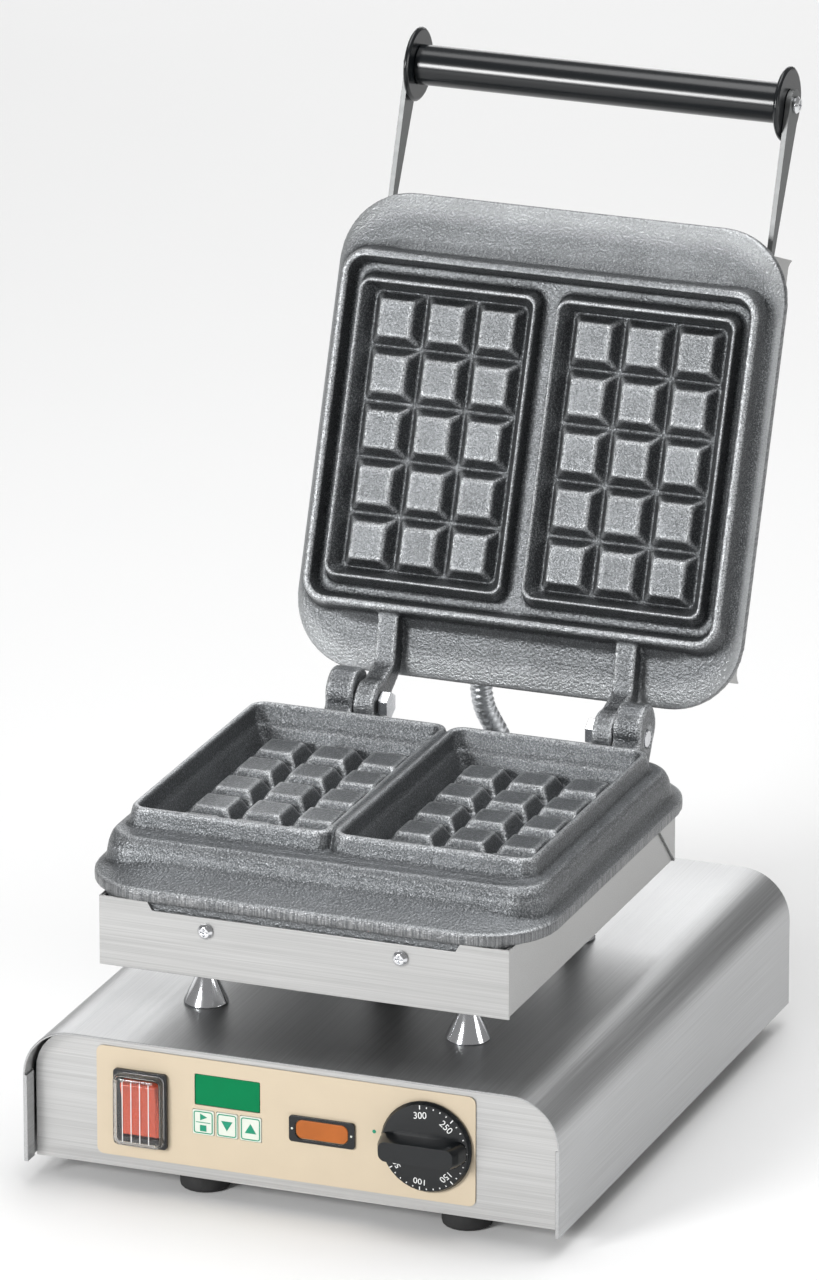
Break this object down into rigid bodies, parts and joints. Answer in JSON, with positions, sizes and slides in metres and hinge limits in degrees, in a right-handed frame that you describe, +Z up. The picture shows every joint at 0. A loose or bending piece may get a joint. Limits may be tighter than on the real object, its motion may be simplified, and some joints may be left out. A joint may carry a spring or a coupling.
{
  "type": "waffle maker",
  "caption": "Tabletop waffle maker: steel base with dial, timer keys and rocker switch, cast lower plate on a raised housing, and a hinged cast upper plate under a hood with a bar handle.",
  "frame": {"origin": "under the middle of the whole object with its lid open, on the surface that it stands on", "axes": "+X to the right as seen from the front, +Y to the back, +Z up"},
  "size_m": [0.32, 0.5246, 0.5433],
  "materials": {
    "sheet_steel": "brushed, fine grain along each sheet",
    "cast_iron": "sand cast, seasoned, with bright edges",
    "chrome": "polished",
    "zinc": "zinc plated",
    "copper": "drawn tube",
    "rubber": "matt",
    "black_plastic": "gloss",
    "overlay_foil": "satin foil",
    "display_lens": "clear green",
    "key_foil": "satin",
    "rocker": "translucent, gloss",
    "clear_cap": "clear flexible plastic",
    "amber_inlay": "gloss",
    "circuit_board": "board with solder mask"
  },
  "bodies": {
    "base": {"base_cover": "sheet_steel", "front_panel": "sheet_steel", "rear_panel": "sheet_steel", "base_plate": "sheet_steel", "lower_tray": "sheet_steel", "lower_front_panel": "sheet_steel", "lower_rear_panel": "sheet_steel", "foot_front_left": "rubber", "foot_front_right": "rubber", "foot_rear_left": "rubber", "foot_rear_right": "rubber", "lead_sleeve": "rubber", "control_overlay": "overlay_foil", "display_window": "display_lens", "timer_board": "circuit_board", "switch_housing": "black_plastic", "badge_frame": "black_plastic", "supply_inlet": "black_plastic", "terminal_block": "black_plastic", "switch_splash_cap": "clear_cap", "badge_inlay": "amber_inlay", "thermostat_body": "zinc", "lower_heater": "zinc", "hinge_bolt_left": "zinc", "hinge_bolt_right": "zinc", "conduit_gland_lower": "zinc", "conduit": "zinc", "thermostat_capillary": "copper", "spacer_front_left": "chrome", "spacer_front_right": "chrome", "spacer_rear_left": "chrome", "spacer_rear_right": "chrome", "lower_screw_front_left": "chrome", "lower_screw_front_right": "chrome", "lower_screw_rear_left": "chrome", "lower_screw_rear_right": "chrome", "lower_plate": "cast_iron"},
    "lid": {"upper_plate": "cast_iron", "hood_shell": "sheet_steel", "hood_handle_panel": "sheet_steel", "hood_hinge_panel": "sheet_steel", "upper_heater": "zinc", "upper_screw_front_left": "chrome", "upper_screw_front_right": "chrome", "upper_screw_rear_left": "chrome", "upper_screw_rear_right": "chrome", "conduit_gland_upper": "zinc", "grip_tube": "black_plastic", "grip_bolt": "chrome", "grip_disc_left": "black_plastic", "grip_disc_right": "black_plastic", "handle_arm_left": "sheet_steel", "handle_arm_right": "sheet_steel"},
    "dial": {"thermostat_knob": "black_plastic", "thermostat_shaft": "zinc"},
    "rocker": {"switch_rocker": "rocker"},
    "start_key": {"key_start_stop": "key_foil"},
    "down_key": {"key_down": "key_foil"},
    "up_key": {"key_up": "key_foil"}
  },
  "joints": [
    {"name": "lid_hinge", "type": "hinge", "parent": "base", "child": "lid", "pos_m": [0, 0.05872, 0.191], "axis": [1, 0, 0], "range_deg": [0, 110.5], "deforming": ["conduit"]},
    {"name": "thermostat_turn", "type": "hinge", "parent": "base", "child": "dial", "pos_m": [0.078, -0.25628, 0.0515], "axis": [0, 1, 0], "range_deg": [0, 270]},
    {"name": "switch_rock", "type": "hinge", "parent": "base", "child": "rocker", "pos_m": [-0.093, -0.24228, 0.0495], "axis": [-1, 0, 0], "range_deg": [0, 14]},
    {"name": "start_key_press", "type": "slide", "parent": "base", "child": "start_key", "axis": [0, 1, 0], "range_m": [0, 0.0005], "stiffness_N_per_m": 600},
    {"name": "down_key_press", "type": "slide", "parent": "base", "child": "down_key", "axis": [0, 1, 0], "range_m": [0, 0.0005], "stiffness_N_per_m": 600},
    {"name": "up_key_press", "type": "slide", "parent": "base", "child": "up_key", "axis": [0, 1, 0], "range_m": [0, 0.0005], "stiffness_N_per_m": 600}
  ]
}
